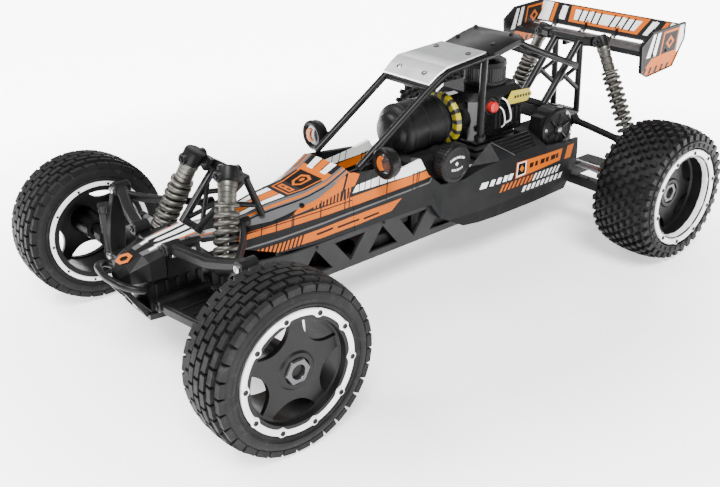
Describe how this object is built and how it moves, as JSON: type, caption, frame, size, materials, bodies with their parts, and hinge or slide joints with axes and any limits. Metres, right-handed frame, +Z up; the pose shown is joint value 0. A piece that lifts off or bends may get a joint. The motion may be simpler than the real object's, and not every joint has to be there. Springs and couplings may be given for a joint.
{
  "type": "radio-controlled buggy",
  "caption": "Large-scale off-road buggy with open wheels, roll cage, coil-over dampers, steering, rear engine and raised wing.",
  "frame": {"origin": "on the ground, under the middle of the whole buggy", "axes": "+Z up, -Y towards the nose, +X the driver's left"},
  "size_m": [0.4556, 0.796, 0.2678],
  "materials": {
    "tray": "satin dark grey",
    "body": "satin black with painted stripes",
    "pod": "gloss dark grey",
    "frame": "satin black",
    "plate": "brushed silver",
    "dark_plate": "anodised dark grey",
    "tank": "matt dark grey",
    "nylon": "moulded black",
    "engine": "cast grey",
    "steel": "brushed",
    "gunmetal": "gunmetal anodised",
    "spring": "dark wire",
    "rim": "satin charcoal",
    "tyre": "black rubber",
    "button": "gloss red"
  },
  "bodies": {
    "chassis": {"chassis_tray": "tray", "front_bumper": "frame", "front_bulkhead": "nylon", "front_shock_tower": "frame", "nose_cover": "body", "hood_shell": "body", "side_pod_left": "pod", "side_pod_right": "pod", "roll_cage": "frame", "roof_plate": "plate", "rear_roof_plate": "dark_plate", "fuel_tank": "tank", "engine_block": "engine", "engine_shroud": "nylon", "gearbox_case": "nylon", "gear_cover": "nylon", "rear_shock_tower": "frame", "rear_wing": "body", "steering_servo": "nylon", "rear_left_shock_body": "gunmetal", "rear_left_spring": "spring", "rear_right_shock_body": "gunmetal", "rear_right_spring": "spring"},
    "fuel_cap": {"fuel_cap": "nylon"},
    "kill_switch": {"kill_switch": "button"},
    "steering_rack": {"steering_rack": "steel"},
    "front_left_lower_arm": {"front_left_lower_arm": "nylon"},
    "front_left_upper_arm": {"front_left_upper_arm": "nylon"},
    "front_left_hub_carrier": {"front_left_hub_carrier": "nylon"},
    "front_left_knuckle": {"front_left_knuckle": "nylon"},
    "front_left_wheel": {"front_left_rim": "rim", "front_left_tyre": "tyre"},
    "front_left_shock_body": {"front_left_shock_body": "gunmetal", "front_left_spring": "spring"},
    "front_left_shock_rod": {"front_left_shock_rod": "steel"},
    "front_left_tie_rod": {"front_left_tie_rod": "steel"},
    "rear_left_lower_arm": {"rear_left_lower_arm": "nylon"},
    "rear_left_upper_link": {"rear_left_upper_link": "nylon"},
    "rear_left_hub_carrier": {"rear_left_hub_carrier": "nylon"},
    "rear_left_wheel": {"rear_left_rim": "rim", "rear_left_tyre": "tyre"},
    "rear_left_drive_shaft": {"rear_left_drive_shaft": "steel"},
    "rear_left_shock_rod": {"rear_left_shock_rod": "steel"},
    "front_right_lower_arm": {"front_right_lower_arm": "nylon"},
    "front_right_upper_arm": {"front_right_upper_arm": "nylon"},
    "front_right_hub_carrier": {"front_right_hub_carrier": "nylon"},
    "front_right_knuckle": {"front_right_knuckle": "nylon"},
    "front_right_wheel": {"front_right_rim": "rim", "front_right_tyre": "tyre"},
    "front_right_shock_body": {"front_right_shock_body": "gunmetal", "front_right_spring": "spring"},
    "front_right_shock_rod": {"front_right_shock_rod": "steel"},
    "front_right_tie_rod": {"front_right_tie_rod": "steel"},
    "rear_right_lower_arm": {"rear_right_lower_arm": "nylon"},
    "rear_right_upper_link": {"rear_right_upper_link": "nylon"},
    "rear_right_hub_carrier": {"rear_right_hub_carrier": "nylon"},
    "rear_right_wheel": {"rear_right_rim": "rim", "rear_right_tyre": "tyre"},
    "rear_right_drive_shaft": {"rear_right_drive_shaft": "steel"},
    "rear_right_shock_rod": {"rear_right_shock_rod": "steel"}
  },
  "joints": [
    {"name": "fuel_cap_turn", "type": "hinge", "parent": "chassis", "child": "fuel_cap", "pos_m": [0.0535, 0.0326, 0.1444], "axis": [1, 0, 0], "range_deg": [0, 120]},
    {"name": "kill_switch_press", "type": "slide", "parent": "chassis", "child": "kill_switch", "axis": [-1, 0, 0], "range_m": [0, 0.003], "stiffness_N_per_m": 300, "springref_m": -0.001},
    {"name": "front_left_arm", "type": "hinge", "parent": "chassis", "child": "front_left_lower_arm", "pos_m": [0.03, -0.312, 0.082], "axis": [0, -1, 0], "range_deg": [0, 16], "stiffness_Nm_per_rad": 16, "springref_deg": -20.05},
    {"name": "front_left_upper", "type": "hinge", "parent": "chassis", "child": "front_left_upper_arm", "pos_m": [0.033, -0.312, 0.141], "axis": [0, -1, 0], "range_deg": [0, 16.5]},
    {"name": "front_left_carrier", "type": "hinge", "parent": "front_left_lower_arm", "child": "front_left_hub_carrier", "pos_m": [0.13, -0.312, 0.072], "axis": [0, -1, 0], "range_deg": [-16.5, 0]},
    {"name": "steer", "type": "hinge", "parent": "front_left_hub_carrier", "child": "front_left_knuckle", "pos_m": [0.143, -0.312, 0.086], "axis": [0, 0, 1], "range_deg": [-20, 20], "stiffness_Nm_per_rad": 0.6},
    {"name": "front_left_wheel_spin", "type": "hinge", "parent": "front_left_knuckle", "child": "front_left_wheel", "pos_m": [0.165, -0.312, 0.086], "axis": [1, 0, 0], "continuous": true},
    {"name": "front_left_shock_swing", "type": "hinge", "parent": "chassis", "child": "front_left_shock_body", "pos_m": [0.034, -0.253, 0.2], "axis": [-0.8077, 0.3869, -0.445], "range_deg": [0, 2.77]},
    {"name": "front_left_shock", "type": "slide", "parent": "front_left_shock_body", "child": "front_left_shock_rod", "axis": [-0.3296, 0.3296, 0.8847], "range_m": [0, 0.01219], "deforming": ["front_left_spring"]},
    {"name": "front_left_tie_rod_tilt", "type": "hinge", "parent": "steering_rack", "child": "front_left_tie_rod", "pos_m": [0.0208, -0.268, 0.1], "axis": [0, -1, 0], "range_deg": [0, 13.72]},
    {"name": "rear_left_arm", "type": "hinge", "parent": "chassis", "child": "rear_left_lower_arm", "pos_m": [0.035, 0.264, 0.066], "axis": [0, -1, 0], "range_deg": [0, 14], "stiffness_Nm_per_rad": 24, "springref_deg": -20.05},
    {"name": "rear_left_link", "type": "hinge", "parent": "chassis", "child": "rear_left_upper_link", "pos_m": [0.05, 0.266, 0.141], "axis": [0, -1, 0], "range_deg": [0, 19.32]},
    {"name": "rear_left_carrier", "type": "hinge", "parent": "rear_left_lower_arm", "child": "rear_left_hub_carrier", "pos_m": [0.137, 0.264, 0.064], "axis": [0, -1, 0], "range_deg": [-14.5, 0]},
    {"name": "rear_left_wheel_spin", "type": "hinge", "parent": "rear_left_hub_carrier", "child": "rear_left_wheel", "pos_m": [0.148, 0.264, 0.084], "axis": [1, 0, 0], "continuous": true},
    {"name": "rear_left_shaft_tilt", "type": "hinge", "parent": "chassis", "child": "rear_left_drive_shaft", "pos_m": [0.0365, 0.264, 0.084], "axis": [0, -1, 0], "range_deg": [0, 15.76]},
    {"name": "rear_left_shock", "type": "slide", "parent": "chassis", "child": "rear_left_shock_rod", "axis": [-0.4319, 0.0064, 0.9019], "range_m": [0, 0.02172], "deforming": ["rear_left_spring"]},
    {"name": "front_right_arm", "type": "hinge", "parent": "chassis", "child": "front_right_lower_arm", "pos_m": [-0.03, -0.312, 0.082], "axis": [0, 1, 0], "range_deg": [0, 16], "stiffness_Nm_per_rad": 16, "springref_deg": -20.05},
    {"name": "front_right_upper", "type": "hinge", "parent": "chassis", "child": "front_right_upper_arm", "pos_m": [-0.033, -0.312, 0.141], "axis": [0, 1, 0], "range_deg": [0, 16.5]},
    {"name": "front_right_carrier", "type": "hinge", "parent": "front_right_lower_arm", "child": "front_right_hub_carrier", "pos_m": [-0.13, -0.312, 0.072], "axis": [0, 1, 0], "range_deg": [-16.5, 0]},
    {"name": "steer_right", "type": "hinge", "parent": "front_right_hub_carrier", "child": "front_right_knuckle", "pos_m": [-0.143, -0.312, 0.086], "axis": [0, 0, 1], "range_deg": [-20.5, 20.5]},
    {"name": "front_right_wheel_spin", "type": "hinge", "parent": "front_right_knuckle", "child": "front_right_wheel", "pos_m": [-0.165, -0.312, 0.086], "axis": [1, 0, 0], "continuous": true},
    {"name": "front_right_shock_swing", "type": "hinge", "parent": "chassis", "child": "front_right_shock_body", "pos_m": [-0.034, -0.253, 0.2], "axis": [-0.8077, -0.3869, 0.445], "range_deg": [0, 2.77]},
    {"name": "front_right_shock", "type": "slide", "parent": "front_right_shock_body", "child": "front_right_shock_rod", "axis": [0.3296, 0.3296, 0.8847], "range_m": [0, 0.01219], "deforming": ["front_right_spring"]},
    {"name": "front_right_tie_rod_tilt", "type": "hinge", "parent": "steering_rack", "child": "front_right_tie_rod", "pos_m": [-0.0208, -0.268, 0.1], "axis": [0, 1, 0], "range_deg": [0, 13.72]},
    {"name": "rear_right_arm", "type": "hinge", "parent": "chassis", "child": "rear_right_lower_arm", "pos_m": [-0.035, 0.264, 0.066], "axis": [0, 1, 0], "range_deg": [0, 14], "stiffness_Nm_per_rad": 24, "springref_deg": -20.05},
    {"name": "rear_right_link", "type": "hinge", "parent": "chassis", "child": "rear_right_upper_link", "pos_m": [-0.05, 0.266, 0.141], "axis": [0, 1, 0], "range_deg": [0, 19.32]},
    {"name": "rear_right_carrier", "type": "hinge", "parent": "rear_right_lower_arm", "child": "rear_right_hub_carrier", "pos_m": [-0.137, 0.264, 0.064], "axis": [0, 1, 0], "range_deg": [-14.5, 0]},
    {"name": "rear_right_wheel_spin", "type": "hinge", "parent": "rear_right_hub_carrier", "child": "rear_right_wheel", "pos_m": [-0.148, 0.264, 0.084], "axis": [1, 0, 0], "continuous": true},
    {"name": "rear_right_shaft_tilt", "type": "hinge", "parent": "chassis", "child": "rear_right_drive_shaft", "pos_m": [-0.0365, 0.264, 0.084], "axis": [0, 1, 0], "range_deg": [0, 15.76]},
    {"name": "rear_right_shock", "type": "slide", "parent": "chassis", "child": "rear_right_shock_rod", "axis": [0.4319, 0.0064, 0.9019], "range_m": [0, 0.02172], "deforming": ["rear_right_spring"]},
    {"name": "steering_rack_slide", "type": "slide", "parent": "chassis", "child": "steering_rack", "axis": [1, 0, 0], "range_m": [-0.0155, 0.0155]}
  ],
  "couplings": [
    {"joint": "front_left_upper", "follows": "front_left_arm", "ratio": 1},
    {"joint": "front_left_carrier", "follows": "front_left_arm", "ratio": -1},
    {"joint": "front_left_shock_swing", "follows": "front_left_arm", "ratio": 0.15445},
    {"joint": "front_left_shock", "follows": "front_left_arm", "m_per_rad": 0.04149},
    {"joint": "front_left_tie_rod_tilt", "follows": "front_left_arm", "ratio": 0.8264},
    {"joint": "rear_left_link", "follows": "rear_left_arm", "ratio": 1.3446},
    {"joint": "rear_left_carrier", "follows": "rear_left_arm", "ratio": -1},
    {"joint": "rear_left_shaft_tilt", "follows": "rear_left_arm", "ratio": 1.0898},
    {"joint": "rear_left_shock", "follows": "rear_left_arm", "m_per_rad": 0.08643},
    {"joint": "front_right_upper", "follows": "front_right_arm", "ratio": 1},
    {"joint": "front_right_carrier", "follows": "front_right_arm", "ratio": -1},
    {"joint": "steer_right", "follows": "steer", "ratio": 1},
    {"joint": "front_right_shock_swing", "follows": "front_right_arm", "ratio": 0.15445},
    {"joint": "front_right_shock", "follows": "front_right_arm", "m_per_rad": 0.04149},
    {"joint": "front_right_tie_rod_tilt", "follows": "front_right_arm", "ratio": 0.8264},
    {"joint": "rear_right_link", "follows": "rear_right_arm", "ratio": 1.3446},
    {"joint": "rear_right_carrier", "follows": "rear_right_arm", "ratio": -1},
    {"joint": "rear_right_shaft_tilt", "follows": "rear_right_arm", "ratio": 1.0898},
    {"joint": "rear_right_shock", "follows": "rear_right_arm", "m_per_rad": 0.08643},
    {"joint": "steering_rack_slide", "follows": "steer", "m_per_rad": -0.0431}
  ]
}
